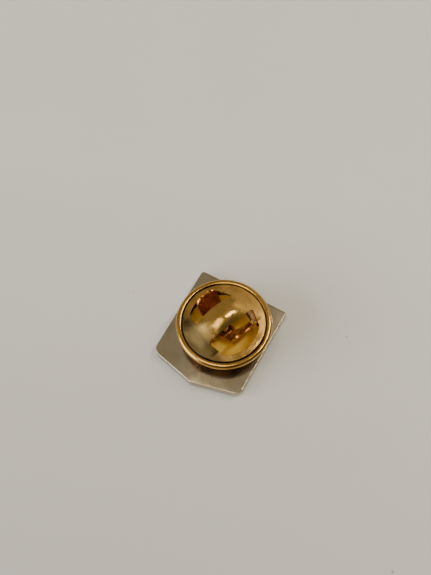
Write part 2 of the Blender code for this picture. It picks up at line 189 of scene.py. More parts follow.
# Linear colour of an sRGB hex value.
def hexColor(code):
    parts = [int(code[place:place + 2], 16) / 255 for place in (0, 2, 4)]
    return (*(p / 12.92 if p <= 0.04045 else ((p + 0.055) / 1.055) ** 2.4 for p in parts), 1.0)


# Gives a node its settings, its plain socket values and its links from other nodes.
def feed(tree, node, values):
    for key, value in values.items():
        if isinstance(value, bpy.types.NodeSocket):
            tree.links.new(value, node.inputs[key])
        elif isinstance(key, str) and hasattr(node, key):
            setattr(node, key, value)
        else:
            node.inputs[key].default_value = value


def addNode(tree, kind, values, output=0):
    node = tree.nodes.new(kind)
    feed(tree, node, values)
    return node.outputs[output]


# A Mix node's colour sockets go by number, because its other kinds of socket share their names.
mixFirst, mixSecond, mixResult = 6, 7, 2


def startMaterial(name):
    material = bpy.data.materials.new(name)
    material.use_nodes = True
    tree = material.node_tree
    shader = tree.nodes["Principled BSDF"]
    place = addNode(tree, "ShaderNodeTexCoord", {}, "Object")
    return material, tree, shader, place


# Soft noise with features of a size in millimetres, which may be drawn out one way.
def softPattern(tree, place, featureMm, detail=3.0, stretch=(1, 1, 1), turn=0.0, rough=0.5):
    sized = addNode(tree, "ShaderNodeMapping",
                    {"Scale": tuple(mm / featureMm * share for share in stretch),
                     "Rotation": (0, 0, turn), "Vector": place})
    return addNode(tree, "ShaderNodeTexNoise",
                   {"Scale": 1.0, "Detail": detail, "Roughness": rough, "Vector": sized}, "Fac")


# Straight hairlines: noise drawn out along one direction. Real ones are a few thousandths of
# a millimetre wide, so they are drawn coarser to show at all.
def hairlines(tree, place, widthMm, turn, spread):
    lines = softPattern(tree, place, widthMm, 2.0, (1, 0.03, 1), turn, 0.7)
    return addNode(tree, "ShaderNodeMapRange",
                   {"From Min": 0.5 - spread, "From Max": 0.5 + spread, "Value": lines})


# The die leaves the bridge's two feet matte, and the near foot is darkened brown as painted shade.
# Distances run along the bridge from the post, in millimetres.
bridgeFeet = {"matteFrom": 2.0, "matteTo": 3.1, "matte": 0.25,
              "paintedShadeFrom": -1.9, "paintedShadeFull": -3.4, "paintedShadeColor": "5E4E2E"}


# Metal that was stamped or turned, tumbled and then thinly plated: a mirror that soft
# orange-peel, hairlines and clouds of tarnish break up.
def platedMetal(name, base, tarnish, rough, bumpMm, turn=0.0, metal=1.0, feet=None):
    material, tree, shader, place = startMaterial(name)
    cloud = softPattern(tree, place, 2.2, 4.0)           # patches of tarnish
    speck = softPattern(tree, place, 0.35, 5.0)          # dull spots left by tumbling
    peel = softPattern(tree, place, 0.5, 3.0)            # the stretched sheet's orange-peel
    lines = hairlines(tree, place, 0.05, turn, 0.25)
    worn = addNode(tree, "ShaderNodeMapRange", {"From Min": 0.42, "From Max": 0.68, "Value": cloud})
    color = addNode(tree, "ShaderNodeMix",
                    {"data_type": "RGBA", "Factor": worn, mixFirst: hexColor(base),
                     mixSecond: hexColor(tarnish)}, mixResult)
    matte = addNode(tree, "ShaderNodeMath", {"operation": "MULTIPLY", 0: speck, 1: lines})
    roughness = addNode(tree, "ShaderNodeMapRange",
                        {"From Min": 0.05, "From Max": 0.5, "To Min": rough[0], "To Max": rough[1],
                         "Value": matte})
    if feet:
        bridgeWay = (-sin(clutchTurn), cos(clutchTurn), 0)
        middle = clutchCentre.dot(Vector(bridgeWay)) / mm
        along = addNode(tree, "ShaderNodeVectorMath",
                        {"operation": "DOT_PRODUCT", 0: place, 1: bridgeWay}, "Value")
        offset = addNode(tree, "ShaderNodeMath", {"operation": "SUBTRACT", 0: along, 1: middle})
        distance = addNode(tree, "ShaderNodeMath", {"operation": "ABSOLUTE", 0: offset})
        dull = addNode(tree, "ShaderNodeMapRange",
                       {"From Min": feet["matteFrom"] / mm, "From Max": feet["matteTo"] / mm,
                        "To Max": feet["matte"], "Value": distance})
        roughness = addNode(tree, "ShaderNodeMath", {"operation": "ADD", 0: roughness, 1: dull})
        # painted shade: the near foot turns darker brown
        paintedShadeShare = addNode(tree, "ShaderNodeMapRange",
                        {"From Min": feet["paintedShadeFull"] / mm, "From Max": feet["paintedShadeFrom"] / mm,
                         "To Min": 1.0, "To Max": 0.0, "Value": offset})
        color = addNode(tree, "ShaderNodeMix",
                        {"data_type": "RGBA", "Factor": paintedShadeShare, mixFirst: color,
                         mixSecond: hexColor(feet["paintedShadeColor"])}, mixResult)
    both = addNode(tree, "ShaderNodeMath", {"operation": "MULTIPLY_ADD", 0: lines, 1: 0.15, 2: peel})
    bump = addNode(tree, "ShaderNodeBump", {"Strength": 0.5, "Distance": bumpMm / mm, "Height": both})
    feed(tree, shader, {"Base Color": color, "Roughness": roughness, "Metallic": metal, "Normal": bump})
    return material


# Bright nickel plate over the struck blank: a faintly warm grey mirror with polishing lines
# and a slight waviness that bends what it reflects.
def nickelPlate():
    material, tree, shader, place = startMaterial("nickelPlate")
    cloud = softPattern(tree, place, 3.0, 4.0)
    wave = softPattern(tree, place, 1.6, 2.0)
    lines = hairlines(tree, place, 0.04, radians(20), 0.2)
    tone = addNode(tree, "ShaderNodeMapRange", {"From Min": 0.35, "From Max": 0.7, "Value": cloud})
    color = addNode(tree, "ShaderNodeMix",
                    {"data_type": "RGBA", "Factor": tone, mixFirst: hexColor("BDB29B"),
                     mixSecond: hexColor("A99B80")}, mixResult)
    roughness = addNode(tree, "ShaderNodeMapRange", {"To Min": 0.10, "To Max": 0.20, "Value": lines})
    both = addNode(tree, "ShaderNodeMath", {"operation": "MULTIPLY_ADD", 0: lines, 1: 0.05, 2: wave})
    bump = addNode(tree, "ShaderNodeBump", {"Strength": 0.4, "Distance": 0.012 / mm, "Height": both})
    feed(tree, shader, {"Base Color": color, "Roughness": roughness, "Metallic": 1.0, "Normal": bump})
    return material


# Soft-fired enamel: deep glossy colour with faint clouding and a surface of fine ripples.
def enamel(name, color, deeper):
    material, tree, shader, place = startMaterial(name)
    cloud = softPattern(tree, place, 1.5, 3.0)
    ripple = softPattern(tree, place, 0.25, 2.0)
    tone = addNode(tree, "ShaderNodeMapRange", {"From Min": 0.35, "From Max": 0.7, "Value": cloud})
    mixed = addNode(tree, "ShaderNodeMix",
                    {"data_type": "RGBA", "Factor": tone, mixFirst: hexColor(color),
                     mixSecond: hexColor(deeper)}, mixResult)
    bump = addNode(tree, "ShaderNodeBump", {"Strength": 0.25, "Distance": 0.01 / mm, "Height": ripple})
    feed(tree, shader, {"Base Color": mixed, "Roughness": 0.12, "Coat Weight": 0.6,
                        "Coat Roughness": 0.05, "Normal": bump})
    return material


# Lead-free solder: dull grey metal, frosted where it froze.
def solderMetal():
    material, tree, shader, place = startMaterial("softSolder")
    frost = softPattern(tree, place, 0.2, 5.0)
    color = addNode(tree, "ShaderNodeMix",
                    {"data_type": "RGBA", "Factor": frost, mixFirst: hexColor("A8A6A0"),
                     mixSecond: hexColor("77746D")}, mixResult)
    roughness = addNode(tree, "ShaderNodeMapRange",
                        {"From Min": 0.3, "From Max": 0.7, "To Min": 0.3, "To Max": 0.6,
                         "Value": frost})
    bump = addNode(tree, "ShaderNodeBump", {"Strength": 0.6, "Distance": 0.03 / mm, "Height": frost})
    feed(tree, shader, {"Base Color": color, "Roughness": roughness, "Metallic": 1.0, "Normal": bump})
    return material


# Painted table top: pale warm grey, eggshell, with fine grain, a slow change of tone, painted shade
# that darkens it towards the camera side, and dust.
def paleTable():
    material, tree, shader, place = startMaterial("paintedTable")
    cloud = softPattern(tree, place, 14.0, 3.0)
    grain = softPattern(tree, place, 0.6, 3.0)
    color = addNode(tree, "ShaderNodeMix",
                    {"data_type": "RGBA", "Factor": cloud, mixFirst: hexColor("E6E6E0"),
                     mixSecond: hexColor("DFDFD8")}, mixResult)
    # painted shade: darker towards the camera side, lighter away from it
    across = addNode(tree, "ShaderNodeVectorMath",
                     {"operation": "DOT_PRODUCT", 0: place, 1: (-0.38, 0.92, 0)}, "Value")
    tone = addNode(tree, "ShaderNodeMapRange", {"From Min": -0.035, "From Max": 0.022, "Value": across})
    color = addNode(tree, "ShaderNodeMix",
                    {"data_type": "RGBA", "Factor": tone, mixFirst: hexColor("CBCBC5"),
                     mixSecond: color}, mixResult)
    dots = addNode(tree, "ShaderNodeTexVoronoi",
                   {"Scale": mm / 7.0, "Randomness": 1.0, "Vector": place}, "Distance")
    dust = addNode(tree, "ShaderNodeMapRange",
                   {"From Min": 0.018, "From Max": 0.03, "To Min": 0.55, "To Max": 0.0, "Value": dots})
    color = addNode(tree, "ShaderNodeMix",
                    {"data_type": "RGBA", "Factor": dust, mixFirst: color,
                     mixSecond: hexColor("6E6A64")}, mixResult)
    bump = addNode(tree, "ShaderNodeBump", {"Strength": 0.15, "Distance": 0.01 / mm, "Height": grain})
    feed(tree, shader, {"Base Color": color, "Roughness": 0.42, "Normal": bump})
    return material


finish = {
    "nickel": nickelPlate(),
    # gold-plated brass: a warm yellow mirror on the cup's rolled rim
    "cup": platedMetal("giltBrassCup", "C79D50", "A9803A", (0.10, 0.24), 0.02),
    # painted light: the floor and lit walls inside get a brighter, slightly satin gilt that stands in
    # for light bouncing round the cup
    "cupPaintedLight": platedMetal("giltBrassPaintedLight", "FFD452", "FFC440", (0.30, 0.42), 0.012, metal=0.35),
    # painted shade: the underside and the shaded inner walls get a dark brown, duller copy of the gilt
    "cupPaintedShade": platedMetal("brassPaintedShade", "6A4A28", "2E2012", (0.22, 0.40), 0.03),
    # the same gilt on the pressed cap, with its polishing lines along the bridge
    "cap": platedMetal("giltBrassCap", "C69F56", "A98340", (0.12, 0.27), 0.03, clutchTurn,
                       feet=bridgeFeet),
    # phosphor bronze with a flash of gilt: orange and a little satin
    "bronze": platedMetal("giltSpringBronze", "CC8C46", "9C602C", (0.22, 0.38), 0.006),
    # nickelled steel nail: a warm grey with a soft shine
    "post": platedMetal("nickelledNail", "BDB29B", "9C8F76", (0.14, 0.30), 0.01),
    "solder": solderMetal(),
    "ring": enamel("whiteEnamel", "E9E6DC", "DAD6C8"),
    "chief": enamel("navyEnamel", "16284F", "0F1C3C"),
    "field": enamel("tealEnamel", "12747A", "0D5B61"),
    "lozenge": enamel("amberEnamel", "E0912A", "C97A1C"),
}
print("materials ready")


# The badge: its plate, the metal lines and the enamel cells, in millimetres.
badge = {
    "pointDepth": 1.4, "topCorner": 0.4, "sideCorner": 1.1, "tipCorner": 0.3,
    "border": 0.55, "ring": 0.85, "line": 0.28, "cellCorner": 0.15,
    "recess": 0.40, "sink": 0.06, "gap": 0.02, "meniscusRise": 0.03,
    "meniscus": ((0.03, 0.012), (0.04, 0.01), (0.04, 0.006)),     # each inset's width and depth
    "chiefHeight": 2.4, "lozengeWidth": 4.2, "lozengeHeight": 5.2, "lozengeLift": 0.35,
    "edgeRound": 0.10, "lineRound": 0.035,
}


def shieldCorners():
    half = (plateHigh.x - plateLow.x) / 2
    top = (plateHigh.y - plateLow.y) / 2
    side = badge["pointDepth"] - top
    return [(half, side), (half, top), (-half, top), (-half, side), (0, -top)]


def shieldOutline(distance):
    names = ("sideCorner", "topCorner", "topCorner", "sideCorner", "tipCorner")
    radii = [badge[name] for name in names]
    return rounded(inset(shieldCorners(), distance),
                   [max(radius - distance, badge["cellCorner"]) for radius in radii])


# The four cells inside the enamel ring: a chief, two fields and a lozenge.
def cellCorners():
    inner = inset(shieldCorners(), badge["border"] + badge["ring"] + badge["line"])
    right, top = inner[1]
    lowSide = inner[0][1]
    tip = inner[4][1]
    line = badge["line"] / 2
    chiefLow = top - badge["chiefHeight"]
    fieldTop = chiefLow - badge["line"]
    middle = (fieldTop + tip) / 2 + badge["lozengeLift"]
    halfWidth = badge["lozengeWidth"] / 2
    halfHeight = badge["lozengeHeight"] / 2
    grow = 1 + badge["line"] * sqrt(1 / halfWidth ** 2 + 1 / halfHeight ** 2)
    notch = halfHeight * grow - line * halfHeight / halfWidth
    foot = tip + line * (lowSide - tip) / right
    rightField = [(right, lowSide), (right, fieldTop), (line, fieldTop), (line, middle + notch),
                  (halfWidth * grow, middle), (line, middle - notch), (line, foot)]
    return {
        "chief": [(right, chiefLow), (right, top), (-right, top), (-right, chiefLow)],
        "fieldLeft": [(-x, y) for x, y in reversed(rightField)],
        "fieldRight": rightField,
        "lozenge": [(halfWidth, middle), (0, middle + halfHeight),
                    (-halfWidth, middle), (0, middle - halfHeight)],
    }


def makePlate():
    plate = outlinePiece("basePlate", shieldOutline(0), 0, plateBack)
    softenEdges(plate, badge["edgeRound"], 3, radians(60))
    ring = outlinePiece("ringCutter", shieldOutline(badge["border"]), -1, badge["recess"])
    island = outlinePiece("island", shieldOutline(badge["border"] + badge["ring"]), -2, 2)
    combine(ring, island, "DIFFERENCE")
    combine(plate, ring, "DIFFERENCE")
    for name, corners in cellCorners().items():
        outline = rounded(corners, [badge["cellCorner"]] * len(corners), 5)
        combine(plate, outlinePiece(name + "Cutter", outline, -1, badge["recess"]), "DIFFERENCE")
    softenEdges(plate, badge["lineRound"], 2, radians(70))
    finishPiece(plate, (plateCentre.x, plateCentre.y, 0), 0, finish["nickel"],
                "badge", ["base_plate"])


# Enamel with a low meniscus: its open face is inset and drawn into the cell.
def fillCell(name, outline, material, node, island=None):
    low = badge["sink"] - badge["meniscusRise"]
    piece = outlinePiece(name, outline, low, badge["recess"] - badge["gap"])
    if island:
        combine(piece, outlinePiece("island", island, -2, 2), "DIFFERENCE")
    pick(piece)
    bpy.ops.object.mode_set(mode="EDIT")
    selectVerts(piece, lambda co: False)
    bpy.ops.mesh.select_mode(type="FACE")
    bm = bmesh.from_edit_mesh(piece.data)
    for face in bm.faces:
        if face.normal.z < -0.9:
            face.select_set(True)
    bmesh.update_edit_mesh(piece.data)
    for width, depth in badge["meniscus"]:
        bpy.ops.mesh.inset(thickness=width, depth=-depth, use_even_offset=False)
    bpy.ops.object.mode_set(mode="OBJECT")
    finishPiece(piece, (plateCentre.x, plateCentre.y, 0), 0, material, "badge", [node])


def makeEnamel():
    gap = badge["gap"]
    fillCell("enamelRing", shieldOutline(badge["border"] + gap), finish["ring"],
             "enamel_ring", shieldOutline(badge["border"] + badge["ring"] - gap))
    looks = {"chief": ("navy_enamel", "enamel_chief"),
             "fieldLeft": ("teal_enamel", "enamel_field_left"),
             "fieldRight": ("teal_enamel", "enamel_field_right"),
             "lozenge": ("amber_enamel", "enamel_lozenge")}
    for name, corners in cellCorners().items():
        slot, node = looks[name]
        outline = rounded(inset(corners, gap), [badge["cellCorner"]] * len(corners), 5)
        fillCell("enamel" + name[0].upper() + name[1:], outline,
                 finish[name if name in finish else "field"], node)


makePlate()
makeEnamel()
print("badge done")


# The post and the solder round its foot.
nail = {"radius": 0.55, "length": 4.6, "tip": 0.9, "tipRadius": 0.12, "waist": 0.50,
        "grooveLow": 0.88, "grooveHigh": 1.67, "grooveEdge": 0.05, "seam": 0.02, "edgeRound": 0.02,
        "solderRadius": 1.25, "solderHeight": 0.32, "solderDip": 0.9, "solderLumps": 0.04, "steps": 64}


# Puts an outline of (radius, height) points in the XZ plane and spins it about Z.
def turnProfile(name, profile, steps):
    bpy.ops.object.select_all(action="DESELECT")
    bpy.ops.mesh.primitive_circle_add(vertices=len(profile), radius=1)
    piece = bpy.context.object
    piece.name = name
    for vert, (radius, height) in zip(piece.data.vertices, profile):
        vert.co = (radius, 0, height)
    bpy.ops.object.mode_set(mode="EDIT")
    bpy.ops.mesh.select_all(action="SELECT")
    bpy.ops.mesh.spin(steps=steps, angle=2 * pi, center=(0, 0, 0), axis=(0, 0, 1))
    bpy.ops.mesh.select_all(action="SELECT")
    bpy.ops.mesh.remove_doubles(threshold=0.0005)
    bpy.ops.mesh.dissolve_degenerate(threshold=0.0001)
    bpy.ops.mesh.select_all(action="SELECT")
    bpy.ops.mesh.normals_make_consistent(inside=False)
    bpy.ops.object.mode_set(mode="OBJECT")
    return piece


def makePost():
    radius, length = nail["radius"], nail["length"]
    profile = [(0, 0), (radius, 0), (radius, nail["grooveLow"] - nail["grooveEdge"]),
               (nail["waist"], nail["grooveLow"]), (nail["waist"], nail["grooveHigh"]),
               (radius, nail["grooveHigh"] + nail["grooveEdge"]), (radius, length - nail["tip"])]
    slope = atan2(nail["tip"] - nail["tipRadius"], radius)
    profile += arc(0, length - nail["tipRadius"], nail["tipRadius"], pi / 2 - slope, pi / 2, 8)
    post = turnProfile("postNail", profile, nail["steps"])
    softenEdges(post, nail["edgeRound"], 2)
    place = (clutchCentre.x, clutchCentre.y, plateBack + nail["seam"])
    finishPiece(post, place, 0, finish["post"], "badge", ["post"])
    reach = nail["solderRadius"] - radius - nail["seam"]
    curve = [(nail["solderRadius"] - reach * sin(step * pi / 20),
              nail["solderHeight"] * (1 - nail["solderDip"] * cos(step * pi / 20)))
             for step in range(11)]
    base = [(radius + nail["seam"], 0), (nail["solderRadius"], 0)]
    solder = turnProfile("solderFillet", base + curve, nail["steps"])
    # its foot and its inner wall stay true, so that it meets the plate and the post
    unevenPress(solder, nail["solderLumps"], 0.5, 3,
                lambda co: min(co.z / 0.1, 1) * (hypot(co.x, co.y) > radius + 0.05))
    finishPiece(solder, place, 0, finish["solder"], "badge", ["post_solder"])


makePost()
print("post done")


# The clutch's cup: a floor with a hole, a sloping wall and a rolled rim.
cup = {"floorRadius": 3.2, "holeRadius": 0.75, "sheet": 0.20, "rimRadius": 0.42, "rimHeight": 2.28,
       "lipAngle": radians(120), "floorBend": 0.5, "edgeRound": 0.05, "dent": 0.025, "dentSize": 1.6,
       "insideGap": 0.25, "insideRise": 0.3,    # where the inside ends, short of the rolled rim
       "paintedLightRadius": 4.15, "paintedLightAlong": 3.3,         # where the inside gets painted light
       "steps": 180, "rollSteps": 22, "wallSteps": 5}
cup["rimDistance"] = (cupHigh.x - cupLow.x) / 2 - cup["rimRadius"]


# Extrudes an open loop of edges again and again, to each radius and height in turn.
def growLoop(fromRadius, path, height):
    radius = fromRadius
    for nextRadius, nextHeight in path:
        bpy.ops.mesh.extrude_edges_move(TRANSFORM_OT_translate={"value": (0, 0, nextHeight - height)})
        scale = nextRadius / radius
        bpy.ops.transform.resize(value=(scale, scale, 1), center_override=(0, 0, 0))
        radius, height = nextRadius, nextHeight


def makeCup():
    run = cup["rimDistance"] - cup["floorRadius"]
    slope = atan2(cup["rimHeight"], run) - atan2(cup["rimRadius"], hypot(run, cup["rimHeight"]))
    rolled = arc(cup["rimDistance"], cup["rimHeight"], cup["rimRadius"], slope - pi / 2,
                 cup["lipAngle"], cup["rollSteps"])
    bend = cup["floorBend"]                  # the floor turns up into the wall over this reach
    foot = [(cup["floorRadius"] - bend * (1 - share) + bend * share,
             bend * tan(slope) * share ** 2 / 2) for share in (0.25, 0.5, 0.75, 1.0)]
    start = cup["floorRadius"] - bend
    bpy.ops.object.select_all(action="DESELECT")
    bpy.ops.mesh.primitive_circle_add(vertices=cup["steps"], radius=start, fill_type="NGON")
    piece = bpy.context.object
    piece.name = "clutchCup"
    bpy.ops.object.mode_set(mode="EDIT")
    bpy.ops.mesh.select_all(action="SELECT")
    bpy.ops.mesh.inset(thickness=start - cup["holeRadius"])
    bpy.ops.mesh.delete(type="FACE")
    selectVerts(piece, lambda co: hypot(co.x, co.y) > start - 0.01)
    wall = [(foot[-1][0] + (rolled[0][0] - foot[-1][0]) * step / cup["wallSteps"],
             foot[-1][1] + (rolled[0][1] - foot[-1][1]) * step / cup["wallSteps"])
            for step in range(1, cup["wallSteps"])]
    growLoop(start, foot + wall + rolled, 0)
    bpy.ops.mesh.select_all(action="SELECT")
    bpy.ops.mesh.normals_make_consistent(inside=False)
    bpy.ops.object.mode_set(mode="OBJECT")
    outermost = max(piece.data.polygons, key=lambda face: face.center.length)
    if outermost.normal.dot(outermost.center) < 0:
        piece.data.flip_normals()
    modify(piece, "SOLIDIFY", thickness=cup["sheet"], offset=-1, use_even_offset=True)
    softenEdges(piece, cup["edgeRound"], 3, radians(50))
    rimLow = cup["rimHeight"] - cup["rimRadius"]
    unevenPress(piece, cup["dent"], cup["dentSize"], 5, lambda co: 0.3 + 0.7 * (co.z > rimLow))
    finishPiece(piece, (clutchCentre.x, clutchCentre.y, cupBase), clutchTurn, finish["cup"],
                "clutch", ["clutch_cup"], radians(60))
    # three finishes: the rim keeps its gilt, the upward faces inside, except towards one end of the
    # bridge, get painted light, and the rest of the inside and the underside get painted shade
    reach = (cup["rimDistance"] - cup["insideGap"]) / mm
    insideTop = (cupBase + rimLow + cup["insideRise"]) / mm
    bridgeWay = Vector((-sin(clutchTurn), cos(clutchTurn)))
    piece.data.materials.append(finish["cupPaintedLight"])
    piece.data.materials.append(finish["cupPaintedShade"])
    for face in piece.data.polygons:
        offset = (face.center - clutchCentre / mm).xy
        inside = offset.length < reach and face.center.z < insideTop
        paintedLit = (offset.length < cup["paintedLightRadius"] / mm
                  and offset.dot(bridgeWay) < cup["paintedLightAlong"] / mm)
        # painted light on the upward faces inside; painted shade on the other inner faces and on the
        # downward faces
        if inside and face.normal.z > 0.1 and paintedLit:
            face.material_index = 1
        elif inside or face.normal.z < -0.2:
            face.material_index = 2


makeCup()
print("clutch cup done")


# The clutch's cap: a pressed disc with an arched bridge between two D-shaped openings.
cap = {"sheet": 0.20, "edgeGap": 0.05, "stepOut": 0.28, "stepIn": 0.22, "shoulder": 0.38, "dome": 0.34,
       "bridgeRise": 1.80, "bridgeSpan": 9.6, "bridgeWidth": 2.6, "bridgeBulge": 0.20,
       "bridgeSkirt": 5.6, "bridgeOffset": 0.30, "runOut": 1.4, "crown": 0.9,
       "openingRadius": 4.2, "openingMiddle": 2.75, "openingCorner": 0.35, "openingClip": 0.55,
       "leftOpening": (-2.95, 2.65), "rightOpening": (-3.2, 3.5),
       "edgeRound": 0.06, "dent": 0.03, "dentSize": 1.3, "settleFrom": 3.2, "settleOver": 1.2,
       "around": 288, "rows": 22, "rimRows": 12}
rimInside = cup["rimRadius"] - cup["sheet"]
cap["radius"] = cup["rimDistance"] + rimInside / 3
cap["edgeHeight"] = cup["rimHeight"] - rimInside + cap["edgeGap"] + cap["sheet"]
cap["shoulderRadius"] = cap["radius"] - cap["stepOut"] - cap["stepIn"]


def smoothStep(value):
    value = min(max(value, 0.0), 1.0)
    return value * value * (3 - 2 * value)


# Top of the pressed cap: gripped edge, step, shallow dome and the arched bridge.
def capHeight(x, y):
    radius = hypot(x, y)
    foot = cap["radius"] - cap["stepOut"]
    height = cap["edgeHeight"] + cap["shoulder"] * smoothStep((foot - radius) / cap["stepIn"])
    if radius < cap["shoulderRadius"]:
        height += cap["dome"] * (1 - (radius / cap["shoulderRadius"]) ** 2)
    along = max(1 - (2 * y / cap["bridgeSpan"]) ** 2, 0) ** cap["runOut"]
    across = max(1 - (2 * (x + cap["bridgeOffset"]) / cap["bridgeSkirt"]) ** 2, 0) ** cap["crown"]
    return height + cap["bridgeRise"] * along * across


# Straight-sided D with rounded corners, counter-clockwise, as if at +X.
def openingShape(side):
    low, high = cap["rightOpening"] if side > 0 else cap["leftOpening"]
    near = cap["bridgeWidth"] / 2 - side * cap["bridgeOffset"]
    corner = cap["openingCorner"]
    clip = cap["openingClip"]
    farLow = sqrt(cap["openingRadius"] ** 2 - (low + clip) ** 2)
    farHigh = sqrt(cap["openingRadius"] ** 2 - (high - clip) ** 2)
    shape = arc(near + corner, low + corner, corner, -pi, -pi / 2, 6)
    shape += arc(0, 0, cap["openingRadius"], atan2(low + clip, farLow),
                 atan2(high - clip, farHigh), 24)
    shape += arc(near + corner, high - corner, corner, pi / 2, pi, 6)
    for step in range(17):                   # the bridge's edge, bowed towards the opening
        along = 0.85 - 1.7 * step / 16
        shape.append((near + cap["bridgeBulge"] * (1 - along * along),
                      (low + high) / 2 + along * (high - low) / 2))
    return [Vector(point) for point in shape]


# How far a ray from the centre goes before it meets the shape.
def rayDistance(shape, centre, angle):
    way = Vector((cos(angle), sin(angle)))
    best = None
    for index, first in enumerate(shape):
        edge = shape[(index + 1) % len(shape)] - first
        cross = way.x * edge.y - way.y * edge.x
        if abs(cross) < 1e-9:
            continue
        offset = first - centre
        along = (offset.x * edge.y - offset.y * edge.x) / cross
        part = (offset.x * way.y - offset.y * way.x) / cross
        if along > 0 and -1e-6 <= part <= 1 + 1e-6:
            best = along if best is None else min(best, along)
    return best


# Half of the cap round one opening: rings bridged from the opening to the half disc.
def capHalf(side):
    shape = openingShape(side)
    centre = Vector((cap["openingMiddle"], 0.0))
    rim = cap["shoulderRadius"]
    cornerAngle = atan2(rim, -centre.x)
    # the corners where the rim meets the middle of the cap each fall on a ray
    split = round(cap["around"] * cornerAngle / (2 * pi))
    rest = cap["around"] - 2 * split
    angles = [cornerAngle * step / split for step in range(-split, split + 1)]
    angles += [cornerAngle + (2 * pi - 2 * cornerAngle) * step / rest for step in range(1, rest)]
    loops = []
    for edge in ("opening", "half disc"):
        bpy.ops.object.select_all(action="DESELECT")
        bpy.ops.mesh.primitive_circle_add(vertices=len(angles), radius=1)
        loop = bpy.context.object
        for vert, angle in zip(loop.data.vertices, angles):
            way = Vector((cos(angle), sin(angle)))
            if edge == "opening":
                point = centre + way * rayDistance(shape, centre, angle)
            elif abs(angle) <= cornerAngle + 1e-9:
                half = centre.dot(way)
                point = centre + way * (-half + sqrt(half ** 2 + rim ** 2 - centre.length_squared))
            else:
                point = centre - way * (centre.x / way.x)
                point.x = 0
            vert.co = (side * point.x, point.y, 0)
        loops.append(loop)
    pick(loops[0])
    loops[1].select_set(True)
    bpy.ops.object.join()
    half = bpy.context.object
    bpy.ops.object.mode_set(mode="EDIT")
    bpy.ops.mesh.select_all(action="SELECT")
    bpy.ops.mesh.bridge_edge_loops(number_cuts=cap["rows"], interpolation="LINEAR")
    bpy.ops.object.mode_set(mode="OBJECT")
    return half


def makeCap():
    rim = cap["shoulderRadius"]
    piece = capHalf(1)
    other = capHalf(-1)
    pick(piece)
    other.select_set(True)
    bpy.ops.object.join()
    piece.name = "clutchCap"
    bpy.ops.object.mode_set(mode="EDIT")
    bpy.ops.mesh.select_all(action="SELECT")
    bpy.ops.mesh.remove_doubles(threshold=0.001)
    selectVerts(piece, lambda co: hypot(co.x, co.y) > rim - 0.002)
    path = [(rim + (cap["radius"] - rim) * step / cap["rimRows"], 0)
            for step in range(1, cap["rimRows"] + 1)]
    growLoop(rim, path, 0)
    bpy.ops.mesh.select_all(action="SELECT")
    bpy.ops.mesh.remove_doubles(threshold=0.001)
    bpy.ops.mesh.normals_make_consistent(inside=False)
    bpy.ops.object.mode_set(mode="OBJECT")
    if piece.data.polygons[0].normal.z < 0:
        piece.data.flip_normals()
    for vert in piece.data.vertices:
        vert.co.z = capHeight(vert.co.x, vert.co.y)
    modify(piece, "SOLIDIFY", thickness=cap["sheet"], offset=-1, use_even_offset=True)
    softenEdges(piece, cap["edgeRound"], 3, radians(50))
    unevenPress(piece, cap["dent"], cap["dentSize"], 2,
                lambda co: smoothStep((rim - hypot(co.x, co.y)) / 0.4))
    # the uneven bridge settles back under the clutch's full height
    tallest = capHigh.z - cupBase
    excess = max(max(vert.co.z for vert in piece.data.vertices) - tallest, 0)
    for vert in piece.data.vertices:
        vert.co.z -= excess * smoothStep((vert.co.z - cap["settleFrom"]) / cap["settleOver"])
    finishPiece(piece, (clutchCentre.x, clutchCentre.y, cupBase), clutchTurn, finish["cap"],
                "clutch", ["clutch_cap"], radians(60))


makeCap()
print("clutch shell done")


# The spring: a fold and two legs, each with a jaw and a finger wing. Places across it are
# measured from the fold, and a wing's span from the post.
spring = {"sheet": 0.25, "level": 0.55, "gap": 0.05, "foldRadius": 0.50, "foldOpening": radians(60),
          "eyeGap": 0.05, "neck": 0.7, "jawEdge": 0.52, "jawBar": 0.36, "jawLength": 0.9,
          "slotFree": 1.0, "slotHalf": 0.65, "slotCorner": 0.15, "wingTop": 3.95, "wingCorner": 0.7,
          "cupping": 0.10, "cuppingRise": 1.5, "edgeRound": 0.05, "across": 12}
wings = {
    "Left": {"side": -1, "root": 2.2, "reach": 3.75, "span": (-1.15, 1.75), "layer": 0,
             "node": "spring_leg_left", "body": "left_wing"},
    "Right": {"side": 1, "root": 1.85, "reach": 2.75, "span": (-0.55, 2.85), "layer": 1,
              "node": "spring_leg_right", "body": "right_wing"},
}


def makeFold():
    outer = spring["foldRadius"] + spring["sheet"]
    start = pi / 2 + spring["foldOpening"]
    end = 2 * pi + pi / 2 - spring["foldOpening"]
    outline = arc(0, 0, outer, start, end, 48) + arc(0, 0, spring["foldRadius"], end, start, 48)
    low = spring["level"] - spring["gap"]
    high = spring["level"] + 2 * spring["sheet"] + 2 * spring["gap"]
    fold = outlinePiece("springFold", outline, low, high)
    softenEdges(fold, spring["edgeRound"], 3)
    finishPiece(fold, (foldPlace.x, foldPlace.y, cupBase), clutchTurn, finish["bronze"],
                "clutch", ["spring_fold"])


def legOutline(wing):
    post = foldDistance
    eye = spring["foldRadius"] - spring["eyeGap"]
    half = spring["neck"] / 2
    start = atan2(sqrt(eye ** 2 - half ** 2), half)
    bar = spring["jawEdge"] + spring["jawBar"]
    root = wing["root"]
    shoulder = post - spring["slotHalf"] - half
    outline = arc(0, 0, eye, start, start - (pi + 2 * start), 32)
    outline += [(-half, shoulder - half / 2), (-bar, shoulder), (-bar, post + spring["jawLength"]),
                (root - spring["neck"], post + spring["jawLength"]),
                (root - half, post + wing["span"][1]), (root, post + wing["span"][1]),
                (root, post + wing["span"][0]), (half, shoulder - half / 2)]
    return [(wing["side"] * x, y) for x, y in outline]


